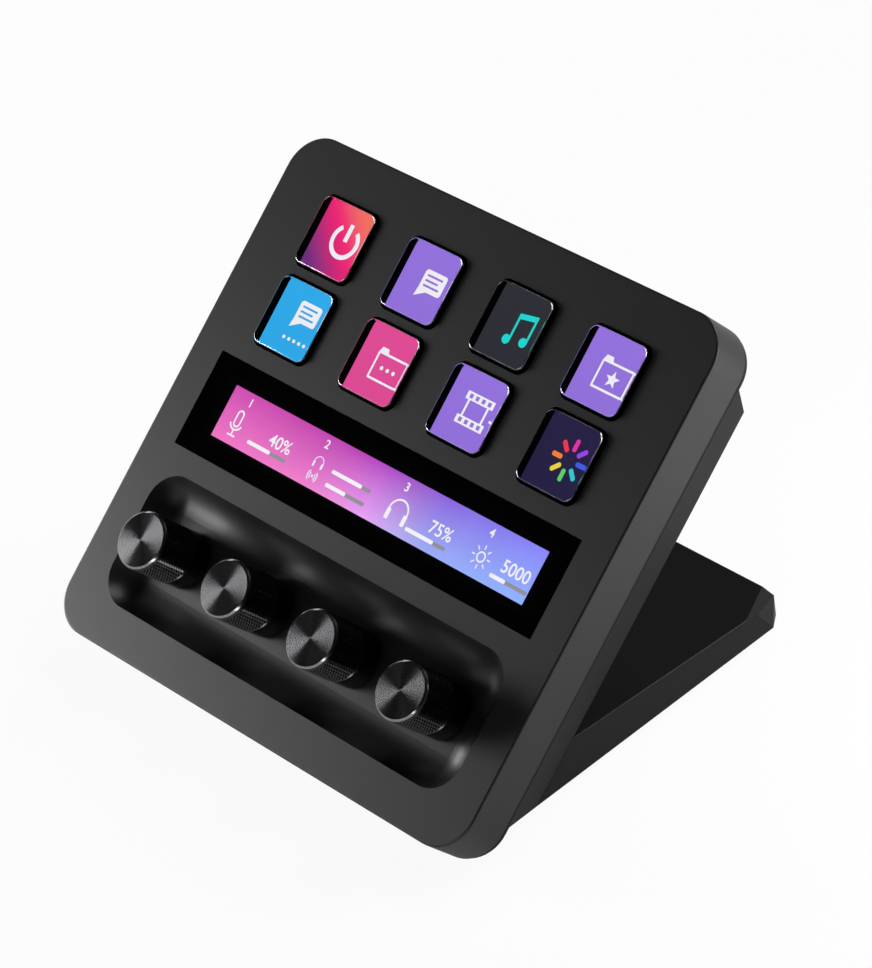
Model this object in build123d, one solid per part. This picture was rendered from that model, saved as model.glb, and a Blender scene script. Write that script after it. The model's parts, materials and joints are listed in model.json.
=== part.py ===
from build123d import *
import math
import os

# A desk macro keypad: eight clear display keys, a touch strip and four push dials in a
# tilted front panel, carried by a rear housing and a weighted wedge stand.
#
# Lengths are millimetres and angles are degrees. Most pieces are drawn in the panel
# frame: x to the right, y up the face, z out of the face, origin at the face's centre.
# place_on_desk() then tilts them back and sets them on the desk, where +Y is backwards,
# +Z is up and the origin is on the desk under the middle of the whole object.

# ---- front panel ---------------------------------------------------------------------
panel_width = 140.0
panel_corner_radius = 10.0
panel_depth = 11.9
panel_edge_round = 0.5
panel_wall = 2.2
panel_side_wall = 2.0
panel_tilt = 40.0

# ---- display keys --------------------------------------------------------------------
key_columns = 4
key_rows = 2
key_side_margin = 16.38
key_row_gap = 3.1
key_top_margin = 12.1
key_size = 18.2
key_corner_radius = 2.4
key_edge_round = 0.4
key_rise = 1.2
key_travel = 1.0
key_side_gap = 0.5
key_flange_reach = 0.9
key_flange_thickness = 0.6
key_ear_reach = 2.9
key_ear_width = 8.0
key_ear_thickness = 0.4
key_guide_gap = 0.25
key_guide_rim = 1.6
key_mat_thickness = 0.25
key_mat_window_gap = 0.2
press_clearance = 0.05

# ---- key display, behind the keys ----------------------------------------------------
key_display_margin = 2.5
key_display_thickness = 2.2

# ---- touch strip ---------------------------------------------------------------------
strip_below_keys = 5.32
strip_side_margin = 9.55
strip_glass_height = 24.7
strip_glass_thickness = 1.1
strip_glass_gap = 0.1
strip_gasket_thickness = 0.15
strip_seat_x = 5.7
strip_seat_y = 3.85
strip_display_overlap_x = 2.25
strip_display_overlap_y = 2.0
strip_display_thickness = 2.0
strip_display_gap = 0.1

# ---- dial trough ---------------------------------------------------------------------
trough_below_strip = 6.08
trough_bottom_margin = 10.6
trough_side_margin = 9.95
trough_height = 34.5
trough_corner_radius = 8.5
trough_depth = 5.5
trough_side_lean = 32.0
trough_cove_fullness = 0.95
trough_wall = 1.8

# ---- dials and their encoders --------------------------------------------------------
dial_count = 4
dial_below_middle = 0.11
dial_radius = 7.25
dial_top = 11.5
dial_floor_gap = 0.8
dial_edge_chamfer = 0.25
dial_collar_height = 5.3
dial_collar_step = 0.12
dial_travel = 0.5
dial_face_radius = 7.08
dial_face_thickness = 0.9
dial_face_chamfer = 0.35
dial_spigot_radius = 2.5
dial_spigot_height = 1.0
dial_spigot_gap = 0.05
shaft_radius = 3.0
shaft_running_gap = 0.05
shaft_seat_gap = 0.02
shaft_top_gap = 0.1
shaft_in_dial = 13.7
shaft_flange_radius = 4.2
shaft_flange_thickness = 0.8
shaft_flange_gap = 0.2
encoder_width = 12.0
encoder_height = 6.5
encoder_cover = 1.7
encoder_floor = 0.8
encoder_cavity_radius = 4.6
encoder_bush_radius = 3.5
encoder_bush_gap = 0.1
encoder_bush_below_floor = 0.1
tappet_radius = 2.0

# ---- screws: heads and drive sockets as shares of the head height or shank radius -----
screw_bevel_share = 0.3
screw_drive_radius_share = 0.6
screw_drive_depth_share = 0.6

# ---- display carrier and its screws --------------------------------------------------
carrier_thickness = 1.5
carrier_side_gap = 1.5
carrier_top_gap = 6.4
carrier_bottom_gap = 2.0
carrier_boss_inset_x = 3.0
carrier_boss_inset_top = 3.0
carrier_boss_inset_bottom = 4.2
carrier_boss_row_count = 3
carrier_boss_radius = 2.6
carrier_screw_radius = 1.0
carrier_screw_length = 4.5
carrier_screw_head_radius = 1.9
carrier_screw_head_height = 1.1

# ---- rear housing --------------------------------------------------------------------
seam_gap = 0.25
tray_depth = 3.05
tray_inset = 0.25
tray_edge_round = 2.8
tray_wall = 1.8
tray_lip_height = 2.6
tray_lip_wall = 1.2
tray_lip_gap = 0.15
slab_back = 27.0
slab_wall = 2.0
slab_end_margin = 10.4
slab_side_slope = 5.75
slab_top_slope = 4.1
slab_bottom_slope = 7.7
slab_edge_round = 0.4
housing_boss_spacing = 60.0
housing_boss_inset = 5.2
housing_boss_radius = 2.8
housing_screw_radius = 1.2
housing_screw_length = 7.0
housing_screw_head_radius = 2.3
housing_screw_head_height = 0.8
housing_counterbore_gap = 0.2

# ---- circuit boards ------------------------------------------------------------------
board_thickness = 1.6
board_screw_radius = 1.2
board_screw_length = 6.0
board_screw_head_radius = 2.2
board_screw_head_height = 1.2
board_post_radius = 3.0
main_board_front = 18.0
main_board_side_gap = 10.0
main_board_top_gap = 5.9
main_board_bottom_gap = 5.66
main_board_hole_inset = 6.0
encoder_board_side_margin = 5.48
encoder_board_edge_margin = 3.0
chip_thickness = 1.2
processor_size = 14.0
processor_x = -28.0
memory_size = 9.0
memory_x = -8.0
chip_row_above_middle = 7.0
driver_length = 8.0
driver_depth = 5.0
driver_x = 8.0
driver_below_middle = 5.0
connector_length = 14.0
connector_depth = 3.0
connector_height = 1.2
ribbon_width = 12.0
ribbon_thickness = 0.3
ribbon_slot_gap = 0.8
strip_ribbon_x = 0.0
strip_ribbon_below_middle = 3.13
key_ribbon_x = 30.0
key_ribbon_below_middle = 12.55
link_ribbon_x = -20.0
link_ribbon_foot = 6.0

# ---- data socket ---------------------------------------------------------------------
socket_inset = 10.0
socket_width = 8.94
socket_height = 3.2
socket_wall = 0.35
socket_recess = 0.2
socket_floor = 1.2
socket_tongue_thickness = 0.7
socket_tongue_width = 6.7
socket_tongue_setback = 0.6
socket_hole_gap = 0.35
socket_end_roundness = 0.98

# ---- wedge stand ---------------------------------------------------------------------
stand_seat_length = 17.1
stand_reach = 63.0
stand_back_height = 6.8
stand_wall = 2.2
stand_edge_round = 0.4
stand_edge_level_limit = 0.2
corner_bevel_back = 6.4
corner_bevel_side = 8.6
corner_bevel_drop = 0.9
corner_chamfer_back = 2.8
corner_chamfer_side = 3.9
stand_screw_count = 4
stand_screw_inset_x = 19.0
stand_screw_inset_y = 11.3
stand_screw_radius = 1.5
stand_screw_length = 8.0
stand_screw_head_radius = 2.7
stand_screw_head_height = 1.6
stand_boss_radius = 3.2
stand_boss_depth = 7.0
base_plate_thickness = 1.5
base_plate_front_setback = 9.0
base_plate_margin = 1.2
base_plate_gap = 0.15
base_boss_radius = 3.0
base_boss_inset = 7.5
base_screw_radius = 1.1
base_screw_length = 4.4
base_screw_head_radius = 2.1
base_screw_head_height = 0.8
ballast_thickness = 2.4
ballast_side_gap = 15.0
ballast_end_gap = 4.0
pad_proud = 1.8
pad_recess = 0.5
pad_side_setback = 8.0
pad_width = 13.0
pad_side_gap = 0.1
pad_corner_radius = 4.0
pad_end_setback = 14.5

# ---- sizes that follow ---------------------------------------------------------------
key_pitch_x = (panel_width - 2 * key_side_margin - key_size) / (key_columns - 1)
key_pitch_y = key_size + key_row_gap
key_field_height = (key_rows - 1) * key_pitch_y + key_size
keys_and_strip = key_field_height + strip_below_keys + strip_glass_height
panel_height = (
    key_top_margin + keys_and_strip + trough_below_strip + trough_height + trough_bottom_margin
)
key_field_y = panel_height / 2 - key_top_margin - key_field_height / 2
key_opening = key_size + 2 * key_side_gap
key_flange_size = key_size + 2 * key_flange_reach
key_display_width = (key_columns - 1) * key_pitch_x + key_flange_size + 2 * key_display_margin
key_display_height = (key_rows - 1) * key_pitch_y + key_flange_size + 2 * key_display_margin
key_mat_window = key_flange_size + 2 * key_mat_window_gap
key_cap_bottom = -(panel_wall + press_clearance + key_flange_thickness)
key_ear_bottom = -(panel_wall + press_clearance + key_ear_thickness)
key_mat_front = key_ear_bottom - key_travel - press_clearance
key_display_front = key_mat_front - key_mat_thickness
key_display_back = key_display_front - key_display_thickness
strip_y = panel_height / 2 - key_top_margin - keys_and_strip + strip_glass_height / 2
strip_glass_width = panel_width - 2 * strip_side_margin
strip_window_width = strip_glass_width - 2 * strip_seat_x
strip_window_height = strip_glass_height - 2 * strip_seat_y
strip_display_width = strip_window_width + 2 * strip_display_overlap_x
strip_display_height = strip_window_height + 2 * strip_display_overlap_y
strip_display_front = -(panel_wall + strip_display_gap)
strip_display_back = strip_display_front - strip_display_thickness
trough_width = panel_width - 2 * trough_side_margin
trough_y = -panel_height / 2 + trough_bottom_margin + trough_height / 2
trough_underside = -(trough_depth + trough_wall)
carrier_back = key_display_back - carrier_thickness
carrier_width = panel_width - 2 * (panel_side_wall + carrier_side_gap)
carrier_top_y = panel_height / 2 - panel_side_wall - carrier_top_gap
carrier_bottom_y = trough_y + trough_height / 2 + trough_wall + carrier_bottom_gap
dial_y = trough_y - dial_below_middle
dial_pitch = key_pitch_x
dial_bottom = -(trough_depth - dial_floor_gap)
dial_face_top = dial_top + dial_face_thickness
encoder_bottom = trough_underside - encoder_height
encoder_cavity_top = trough_underside - encoder_cover
shaft_top = dial_bottom + shaft_in_dial
shaft_flange_top = encoder_cavity_top - shaft_flange_gap
shaft_bottom = shaft_flange_top - shaft_flange_thickness
encoder_cavity_bottom = encoder_bottom + encoder_floor
tappet_top = shaft_bottom - press_clearance
tappet_bottom = encoder_cavity_bottom + dial_travel + press_clearance
encoder_board_back = encoder_bottom - board_thickness
encoder_board_width = (dial_count - 1) * dial_pitch + encoder_width + 2 * encoder_board_side_margin
encoder_board_height = encoder_width + 2 * encoder_board_edge_margin
main_board_back = -(main_board_front + board_thickness)
slab_front_half_height = panel_height / 2 - slab_end_margin
slab_back_half_width = panel_width / 2 - tray_inset - slab_side_slope
slab_back_top_y = slab_front_half_height - slab_top_slope
slab_back_bottom_y = -slab_front_half_height + slab_bottom_slope
main_board_width = 2 * (slab_back_half_width - main_board_side_gap)
main_board_top_y = slab_back_top_y - main_board_top_gap
main_board_bottom_y = dial_y + encoder_board_height / 2 + main_board_bottom_gap
main_board_y = (main_board_top_y + main_board_bottom_y) / 2
strip_ribbon_y = strip_y - strip_ribbon_below_middle
key_ribbon_y = key_field_y - key_ribbon_below_middle
chip_row_y = main_board_y + chip_row_above_middle
driver_y = main_board_y - driver_below_middle
socket_y = main_board_top_y - socket_inset
stand_half_width = slab_back_half_width
stand_screw_y = slab_back_bottom_y + stand_screw_inset_y
pad_length = 2 * (stand_half_width - pad_side_setback)
slab_inner_back = -(slab_back - slab_wall)
seam_front = -(panel_depth + seam_gap)
tray_back = seam_front - tray_depth
tray_inner_back = tray_back + tray_wall
tray_width = panel_width - 2 * tray_inset
tray_height = panel_height - 2 * tray_inset
stand_top_y = slab_back_bottom_y + stand_seat_length
tilt_cos = math.cos(math.radians(panel_tilt))
tilt_sin = math.sin(math.radians(panel_tilt))

# The stand's underside passes through the rear housing's lowest back edge.
front_reach = panel_height / 2 * tilt_cos
panel_origin_back = (front_reach - stand_reach) / 2
panel_origin_height = pad_proud - (slab_back_bottom_y * tilt_sin - slab_back * tilt_cos)
stand_back = panel_origin_back + stand_reach


def desk_point(y, z):
    """Where a point of the panel frame lies on the desk, as (backwards, up)."""
    back = panel_origin_back + y * tilt_cos - z * tilt_sin
    up = panel_origin_height + y * tilt_sin + z * tilt_cos
    return back, up


def place_on_desk(shape):
    return Pos(0, panel_origin_back, panel_origin_height) * Rot(panel_tilt, 0, 0) * shape


# ---- building blocks -----------------------------------------------------------------
def rounded_block(width, height, radius, low, high, x=0.0, y=0.0):
    """A block with rounded corners seen along z, between two z levels."""
    outline = RectangleRounded(width, height, radius)
    return Pos(x, y, low) * extrude(outline, amount=high - low)


def block(width, height, low, high, x=0.0, y=0.0):
    return Pos(x, y, (low + high) / 2) * Box(width, height, high - low)


def rod(radius, low, high, x=0.0, y=0.0):
    return Pos(x, y, (low + high) / 2) * Cylinder(radius, high - low)


def face_edges(shape, highest):
    """The edges of the highest or lowest flat face along z."""
    faces = shape.faces().filter_by(GeomType.PLANE).sort_by(Axis.Z)
    return faces[-1 if highest else 0].edges()


def frustum(half_width, top_y, bottom_y, front_z, end_half_width, end_top_y, end_bottom_y, end_z):
    """A block whose four sides slope between a front and an end rectangle."""
    front = Pos(0, (top_y + bottom_y) / 2, front_z) * Rectangle(2 * half_width, top_y - bottom_y)
    end = Pos(0, (end_top_y + end_bottom_y) / 2, end_z) * Rectangle(
        2 * end_half_width, end_top_y - end_bottom_y
    )
    return loft([front, end])


def screw(radius, length, head_radius, head_height, x, y, seat_z):
    """A round-headed screw with its head on seat_z, driven towards +z."""
    shank = rod(radius, seat_z, seat_z + length, x, y)
    head = rod(head_radius, seat_z - head_height, seat_z, x, y)
    head = chamfer(face_edges(head, highest=False), head_height * screw_bevel_share)
    drive_low = seat_z - head_height
    drive_high = drive_low + head_height * screw_drive_depth_share
    return shank + head - rod(radius * screw_drive_radius_share, drive_low, drive_high, x, y)


def flipped_screw(radius, length, head_radius, head_height, x, y, seat_z):
    """The same screw with its head in front of seat_z, driven towards -z."""
    upright = screw(radius, length, head_radius, head_height, 0, 0, 0)
    return Pos(x, y, seat_z) * Rot(180, 0, 0) * upright


# ---- places --------------------------------------------------------------------------
def key_places():
    """Key centres, left to right along the top row and then along the bottom row."""
    places = []
    for row in range(key_rows):
        for column in range(key_columns):
            x = (column - (key_columns - 1) / 2) * key_pitch_x
            y = key_field_y + ((key_rows - 1) / 2 - row) * key_pitch_y
            places.append((x, y))
    return places


def dial_places():
    return [(i - (dial_count - 1) / 2) * dial_pitch for i in range(dial_count)]


def between_dials():
    centres = dial_places()
    return [(a + b) / 2 for a, b in zip(centres, centres[1:])]


def evenly(first, last, count):
    """Places from first to last with equal steps between them."""
    return [first + (last - first) * i / (count - 1) for i in range(count)]


def housing_boss_places():
    x = housing_boss_spacing / 2
    y = panel_height / 2 - housing_boss_inset
    return [(sx * x, sy * y) for sx in (-1, 1) for sy in (-1, 1)]


def carrier_boss_places():
    x = carrier_width / 2 - carrier_boss_inset_x
    top = carrier_top_y - carrier_boss_inset_top
    bottom = carrier_bottom_y + carrier_boss_inset_bottom
    return [(sx * x, y) for sx in (-1, 1) for y in evenly(top, bottom, carrier_boss_row_count)]


def stand_screw_places():
    x = stand_half_width - stand_screw_inset_x
    return evenly(-x, x, stand_screw_count)


def main_board_holes():
    x = main_board_width / 2 - main_board_hole_inset
    rows = (main_board_bottom_y + main_board_hole_inset, main_board_top_y - main_board_hole_inset)
    return [(sx * x, y) for sx in (-1, 1) for y in rows]


# ---- front panel ---------------------------------------------------------------------
def trough_form(width, height, radius, high, low):
    """A rounded block whose sides lean in downwards and curve into its floor."""
    lean = math.radians(trough_side_lean)
    drop = high - low
    outline = RectangleRounded(width, height, radius)
    form = Pos(0, trough_y, high) * extrude(outline, amount=-drop, taper=trough_side_lean)
    room = min(radius - drop * math.tan(lean), drop / math.cos(lean))
    cove_radius = trough_cove_fullness * room / math.tan((math.pi / 2 - lean) / 2)
    return fillet(face_edges(form, highest=False), cove_radius)


def trough_pocket():
    mouth = rounded_block(
        trough_width, trough_height, trough_corner_radius, 0, panel_wall, 0, trough_y
    )
    return mouth + trough_form(
        trough_width, trough_height, trough_corner_radius, 0, -trough_depth
    )


def trough_shell():
    return trough_form(
        trough_width + 2 * trough_wall,
        trough_height + 2 * trough_wall,
        trough_corner_radius + trough_wall,
        -panel_wall / 2,
        trough_underside,
    )


def front_bezel():
    body = rounded_block(panel_width, panel_height, panel_corner_radius, -panel_depth, 0)
    body = fillet(face_edges(body, highest=True), panel_edge_round)
    body -= rounded_block(
        panel_width - 2 * panel_side_wall,
        panel_height - 2 * panel_side_wall,
        panel_corner_radius - panel_side_wall,
        -panel_depth,
        -panel_wall,
    )
    body += trough_shell()
    for x, y in carrier_boss_places():
        body += rod(carrier_boss_radius, key_display_back, -panel_wall / 2, x, y)
        body -= rod(carrier_screw_radius, key_display_back, -panel_wall, x, y)
    for x, y in housing_boss_places():
        body += rod(housing_boss_radius, tray_inner_back, -panel_wall / 2, x, y)
        body -= rod(housing_screw_radius, tray_inner_back, tray_inner_back + housing_screw_length, x, y)
    for x, y in key_places():
        body -= rounded_block(
            key_opening, key_opening, key_corner_radius + key_side_gap, -panel_wall, 1, x, y
        )
    glass_seat = -(strip_glass_thickness + strip_gasket_thickness)
    body -= block(
        strip_glass_width + 2 * strip_glass_gap,
        strip_glass_height + 2 * strip_glass_gap,
        glass_seat,
        1,
        0,
        strip_y,
    )
    body -= block(strip_window_width, strip_window_height, -panel_wall, 1, 0, strip_y)
    body -= trough_pocket()
    for x in dial_places():
        hole = encoder_bush_radius + encoder_bush_gap
        body -= rod(hole, trough_underside, 0, x, dial_y)
    return body


# ---- keys ----------------------------------------------------------------------------
def key_cap(x, y):
    """A clear cap with a retaining flange and two ears that press the mat."""
    flange_front = -(panel_wall + press_clearance)
    cap = rounded_block(key_size, key_size, key_corner_radius, key_cap_bottom, key_rise, x, y)
    cap = fillet(face_edges(cap, highest=True), key_edge_round)
    cap += rounded_block(
        key_flange_size, key_flange_size, key_corner_radius, key_cap_bottom, flange_front, x, y
    )
    cap += block(key_size + 2 * key_ear_reach, key_ear_width, key_ear_bottom, flange_front, x, y)
    return cap


def key_guide_frame():
    """The grid between the bezel and the display that keeps each key square."""
    span_x = (key_columns - 1) * key_pitch_x + key_size + 2 * key_ear_reach
    span_y = (key_rows - 1) * key_pitch_y + key_flange_size
    reach = 2 * (key_guide_gap + key_guide_rim)
    frame = block(span_x + reach, span_y + reach, key_mat_front, -panel_wall, 0, key_field_y)
    window = key_flange_size + 2 * key_guide_gap
    for x, y in key_places():
        frame -= block(window, window, key_mat_front, -panel_wall, x, y)
        frame -= block(
            key_size + 2 * (key_ear_reach + key_guide_gap),
            key_ear_width + 2 * key_guide_gap,
            key_mat_front,
            -panel_wall,
            x,
            y,
        )
    return frame


def key_mat():
    """The thin silicone switch mat on the display, open over each picture."""
    mat = block(
        key_display_width, key_display_height, key_display_front, key_mat_front, 0, key_field_y
    )
    for x, y in key_places():
        mat -= block(key_mat_window, key_mat_window, key_display_front, key_mat_front, x, y)
    return mat


def key_display():
    return block(
        key_display_width, key_display_height, key_display_back, key_display_front, 0, key_field_y
    )


# ---- touch strip ---------------------------------------------------------------------
def strip_glass():
    return block(
        strip_glass_width, strip_glass_height, -strip_glass_thickness, 0, 0, strip_y
    )


def strip_gasket():
    seat = -(strip_glass_thickness + strip_gasket_thickness)
    ring = block(strip_glass_width, strip_glass_height, seat, -strip_glass_thickness, 0, strip_y)
    return ring - block(
        strip_window_width, strip_window_height, seat, -strip_glass_thickness, 0, strip_y
    )


def strip_display():
    return block(
        strip_display_width,
        strip_display_height,
        strip_display_back,
        strip_display_front,
        0,
        strip_y,
    )


def display_carrier():
    """The moulded plate that holds both displays against the bezel."""
    middle_y = (carrier_top_y + carrier_bottom_y) / 2
    plate = rounded_block(
        carrier_width,
        carrier_top_y - carrier_bottom_y,
        carrier_boss_radius,
        carrier_back,
        key_display_back,
        0,
        middle_y,
    )
    plate += block(
        strip_display_width, strip_display_height, carrier_back, strip_display_back, 0, strip_y
    )
    for x, y in carrier_boss_places():
        plate -= rod(carrier_screw_radius, carrier_back, key_display_back, x, y)
    slot_width = ribbon_width + 2 * ribbon_slot_gap
    slot_height = ribbon_thickness + 2 * ribbon_slot_gap
    for x, y in ((strip_ribbon_x, strip_ribbon_y), (key_ribbon_x, key_ribbon_y)):
        plate -= block(slot_width, slot_height, carrier_back, strip_display_back, x, y)
    return plate


def carrier_screws():
    return [
        screw(
            carrier_screw_radius,
            carrier_screw_length,
            carrier_screw_head_radius,
            carrier_screw_head_height,
            x,
            y,
            carrier_back,
        )
        for x, y in carrier_boss_places()
    ]


# ---- dials ---------------------------------------------------------------------------
def dial_knob(x):
    """The grip: a band for the knurling above a plain collar, bored for its shaft."""
    collar_top = dial_bottom + dial_collar_height
    knob = rod(dial_radius, collar_top, dial_top, x, dial_y)
    knob = chamfer(face_edges(knob, highest=True), dial_edge_chamfer)
    knob += rod(dial_radius - dial_collar_step, dial_bottom, collar_top, x, dial_y)
    knob -= rod(shaft_radius + shaft_seat_gap, dial_bottom, shaft_top + shaft_top_gap, x, dial_y)
    spigot_bottom = dial_top - dial_spigot_height - dial_spigot_gap
    knob -= rod(dial_spigot_radius + dial_spigot_gap, spigot_bottom, dial_top, x, dial_y)
    return knob


def dial_face(x):
    """The bright turned disc that caps the knob."""
    disc = rod(dial_face_radius, dial_top, dial_face_top, x, dial_y)
    disc = chamfer(face_edges(disc, highest=True), dial_face_chamfer)
    return disc + rod(dial_spigot_radius, dial_top - dial_spigot_height, dial_top, x, dial_y)


def dial_shaft(x):
    shaft = rod(shaft_radius, shaft_bottom, shaft_top, x, dial_y)
    return shaft + rod(shaft_flange_radius, shaft_bottom, shaft_flange_top, x, dial_y)


def encoder_tappet(x):
    """The stem under the shaft that works the push switch."""
    return rod(tappet_radius, tappet_bottom, tappet_top, x, dial_y)


def encoder_body(x):
    bush_top = -(trough_depth + encoder_bush_below_floor)
    case = block(encoder_width, encoder_width, encoder_bottom, trough_underside, x, dial_y)
    case += rod(encoder_bush_radius, trough_underside, bush_top, x, dial_y)
    case -= rod(shaft_radius + shaft_running_gap, encoder_cavity_top, bush_top, x, dial_y)
    return case - rod(encoder_cavity_radius, encoder_cavity_bottom, encoder_cavity_top, x, dial_y)


# ---- circuit boards ------------------------------------------------------------------
def encoder_board():
    board = block(
        encoder_board_width, encoder_board_height, encoder_board_back, encoder_bottom, 0, dial_y
    )
    for x in between_dials():
        board -= rod(board_screw_radius, encoder_board_back, encoder_bottom, x, dial_y)
    return board


def main_board():
    height = main_board_top_y - main_board_bottom_y
    board = block(main_board_width, height, main_board_back, -main_board_front, 0, main_board_y)
    for x, y in main_board_holes():
        board -= rod(board_screw_radius, main_board_back, -main_board_front, x, y)
    return board


def board_chips():
    """Processor, memory and driver packages, then the three ribbon connectors."""
    front = -main_board_front
    top = front + chip_thickness
    chips = [
        block(processor_size, processor_size, front, top, processor_x, chip_row_y),
        block(memory_size, memory_size, front, top, memory_x, chip_row_y),
        block(driver_length, driver_depth, front, top, driver_x, driver_y),
    ]
    for x, y in connector_places():
        chips.append(block(connector_length, connector_depth, front, front + connector_height, x, y))
    return chips


def connector_places():
    link_y = main_board_bottom_y + link_ribbon_foot
    return [(strip_ribbon_x, strip_ribbon_y), (key_ribbon_x, key_ribbon_y), (link_ribbon_x, link_y)]


def straight_ribbon(x, y, start_z):
    """A flat cable from a display's back to its connector on the main board."""
    return block(ribbon_width, ribbon_thickness, -main_board_front + connector_height, start_z, x, y)


def link_ribbon():
    """The flat cable from the encoder board across to the main board."""
    connector_top = -main_board_front + connector_height
    end_y = main_board_bottom_y + link_ribbon_foot
    start_y = dial_y + encoder_board_height / 2 - ribbon_thickness / 2
    low = connector_top
    high = connector_top + ribbon_thickness
    run = block(
        ribbon_width, end_y - start_y + ribbon_thickness, low, high, link_ribbon_x, (start_y + end_y) / 2
    )
    drop = block(ribbon_width, ribbon_thickness, low, encoder_board_back, link_ribbon_x, start_y)
    return run + drop


def board_screws():
    screws = []
    sizes = (board_screw_radius, board_screw_length, board_screw_head_radius, board_screw_head_height)
    for x, y in main_board_holes():
        screws.append(flipped_screw(*sizes, x, y, -main_board_front))
    for x in between_dials():
        screws.append(flipped_screw(*sizes, x, dial_y, encoder_bottom))
    return screws


def data_socket():
    """The reversible data and power socket, open at the back of the housing."""
    mouth = -(slab_back - socket_recess)
    end_radius = socket_height / 2 * socket_end_roundness
    shell = rounded_block(socket_width, socket_height, end_radius, mouth, main_board_back, 0, socket_y)
    inner_height = socket_height - 2 * socket_wall
    shell -= rounded_block(
        socket_width - 2 * socket_wall,
        inner_height,
        inner_height / 2 * socket_end_roundness,
        mouth,
        main_board_back - socket_floor,
        0,
        socket_y,
    )
    return shell + block(
        socket_tongue_width,
        socket_tongue_thickness,
        mouth + socket_tongue_setback,
        main_board_back - socket_floor,
        0,
        socket_y,
    )


# ---- rear housing --------------------------------------------------------------------
def slab_block(wall):
    """The sloping block behind the seam, drawn smaller by wall on every side."""
    return frustum(
        tray_width / 2 - wall,
        slab_front_half_height - wall,
        -slab_front_half_height + wall,
        seam_front,
        slab_back_half_width - wall,
        slab_back_top_y - wall,
        slab_back_bottom_y + wall,
        -slab_back + wall,
    )


def tray():
    shell = rounded_block(
        tray_width, tray_height, panel_corner_radius - tray_inset, tray_back, seam_front
    )
    shell = fillet(face_edges(shell, highest=False), tray_edge_round)
    lip_inset = panel_side_wall + tray_lip_gap
    lip_radius = panel_corner_radius - lip_inset
    lip = rounded_block(
        panel_width - 2 * lip_inset,
        panel_height - 2 * lip_inset,
        lip_radius,
        tray_inner_back,
        seam_front + tray_lip_height,
    )
    hollow_inset = lip_inset + tray_lip_wall
    hollow = rounded_block(
        panel_width - 2 * hollow_inset,
        panel_height - 2 * hollow_inset,
        panel_corner_radius - hollow_inset,
        tray_inner_back,
        seam_front + tray_lip_height,
    )
    return shell + lip - hollow


def rear_housing():
    outer = slab_block(0.0)
    rims = outer.faces().sort_by(Axis.Z)[0].edges()
    outer = fillet(rims, slab_edge_round)
    housing = tray() + outer
    housing -= slab_block(slab_wall)
    housing -= rounded_block(
        panel_width - 2 * (panel_side_wall + tray_lip_gap + tray_lip_wall),
        2 * (slab_front_half_height - slab_wall),
        panel_side_wall,
        seam_front,
        0,
    )
    for x, y in housing_boss_places():
        housing -= rod(housing_boss_radius + tray_lip_gap, tray_inner_back, 0, x, y)
        housing -= rod(housing_screw_radius, tray_back, tray_inner_back, x, y)
        housing -= rod(
            housing_screw_head_radius + housing_counterbore_gap,
            tray_back,
            tray_back + housing_screw_head_height,
            x,
            y,
        )
    hole_depth = board_screw_length - board_thickness
    for x, y in main_board_holes():
        housing += rod(board_post_radius, slab_inner_back, main_board_back, x, y)
        housing -= rod(board_screw_radius, main_board_back - hole_depth, main_board_back, x, y)
    for x in between_dials():
        housing += rod(board_post_radius, slab_inner_back, encoder_board_back, x, dial_y)
        housing -= rod(board_screw_radius, encoder_board_back - hole_depth, encoder_board_back, x, dial_y)
    for x in stand_screw_places():
        housing -= rod(stand_screw_radius, -slab_back, slab_inner_back, x, stand_screw_y)
    opening_height = socket_height + 2 * socket_hole_gap
    housing -= rounded_block(
        socket_width + 2 * socket_hole_gap,
        opening_height,
        opening_height / 2 * socket_end_roundness,
        -slab_back,
        slab_inner_back,
        0,
        socket_y,
    )
    return housing


def housing_screws():
    return [
        screw(
            housing_screw_radius,
            housing_screw_length,
            housing_screw_head_radius,
            housing_screw_head_height,
            x,
            y,
            tray_back + housing_screw_head_height,
        )
        for x, y in housing_boss_places()
    ]


def stand_screws():
    sizes = (stand_screw_radius, stand_screw_length, stand_screw_head_radius, stand_screw_head_height)
    return [flipped_screw(*sizes, x, stand_screw_y, slab_inner_back) for x in stand_screw_places()]


# ---- wedge stand, drawn straight in the desk frame -----------------------------------
def stand_profile(underside):
    """The stand's side outline above a level, clockwise from its sharp front edge."""
    seat_y = (underside - panel_origin_height + slab_back * tilt_cos) / tilt_sin
    outline = Polyline(
        desk_point(seat_y, -slab_back),
        desk_point(stand_top_y, -slab_back),
        (stand_back, pad_proud + stand_back_height),
        (stand_back, underside),
        close=True,
    )
    return make_face(outline)


def side_extrusion(outline, half_width):
    return extrude(Plane.YZ * outline, amount=half_width, both=True)


def corner_triangles(side):
    """Three facets at a back corner: a shallow top bevel, a lean one and an upright one."""
    top = pad_proud + stand_back_height
    edge_x = side * stand_half_width
    chamfer_x = side * (stand_half_width - corner_chamfer_back)
    on_back_edge = Vector(side * (stand_half_width - corner_bevel_back), stand_back, top)
    on_side_edge = Vector(edge_x, stand_back - corner_bevel_side, top)
    back_high = Vector(chamfer_x, stand_back, top - corner_bevel_drop)
    back_low = Vector(chamfer_x, stand_back, pad_proud)
    side_low = Vector(edge_x, stand_back - corner_chamfer_side, pad_proud)
    return [
        (on_back_edge, on_side_edge, back_high),
        (on_side_edge, back_high, side_low),
        (back_high, back_low, side_low),
    ]


def facet_plane(corners):
    """The plane through three corners, facing away from the stand's middle."""
    first, second, third = corners
    normal = (second - first).cross(third - first)
    if normal.dot(first - Vector(0, panel_origin_back, pad_proud)) < 0:
        normal = normal * -1
    return Plane(origin=first, z_dir=normal)


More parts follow.
